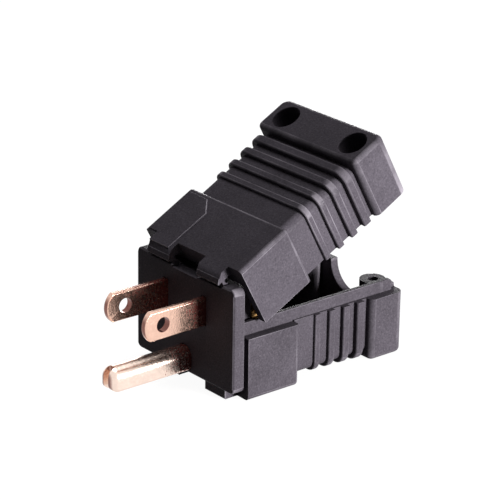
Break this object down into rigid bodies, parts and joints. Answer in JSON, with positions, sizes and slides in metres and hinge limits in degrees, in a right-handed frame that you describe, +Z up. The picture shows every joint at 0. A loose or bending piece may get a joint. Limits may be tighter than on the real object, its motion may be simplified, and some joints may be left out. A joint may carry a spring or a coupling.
{
  "type": "three-pin mains plug",
  "caption": "Rewireable mains plug with flat blades and a folded earth pin, whose ribbed cover swings up from the base on tabs at the face plate.",
  "frame": {"origin": "on the mating face of the face plate, midway between the flat blades", "axes": "+X to the right seen from the pins, +Y from the mating face back to the cord end, +Z up, so that the plug lies on its base"},
  "size_m": [0.0322, 0.067, 0.0498],
  "materials": {
    "housing": "charcoal thermoplastic with a fine spark texture",
    "pins": "satin rose-copper coloured brass",
    "terminals": "plain brass",
    "screws": "plain brass"
  },
  "bodies": {
    "base": {"lower_housing": "housing", "pin_carrier": "housing", "neutral_blade": "pins", "line_blade": "pins", "earth_pin": "pins", "line_wire_clamp": "terminals", "neutral_wire_clamp": "terminals", "earth_wire_clamp": "terminals", "line_terminal_screw": "screws", "neutral_terminal_screw": "screws", "earth_terminal_screw": "screws"},
    "cover": {"upper_housing": "housing"}
  },
  "joints": [
    {"name": "cover_hinge", "type": "hinge", "parent": "base", "child": "cover", "pos_m": [0, 0.00137, 0.0067], "axis": [1, 0, 0], "range_deg": [-28.2, 31.5]}
  ]
}
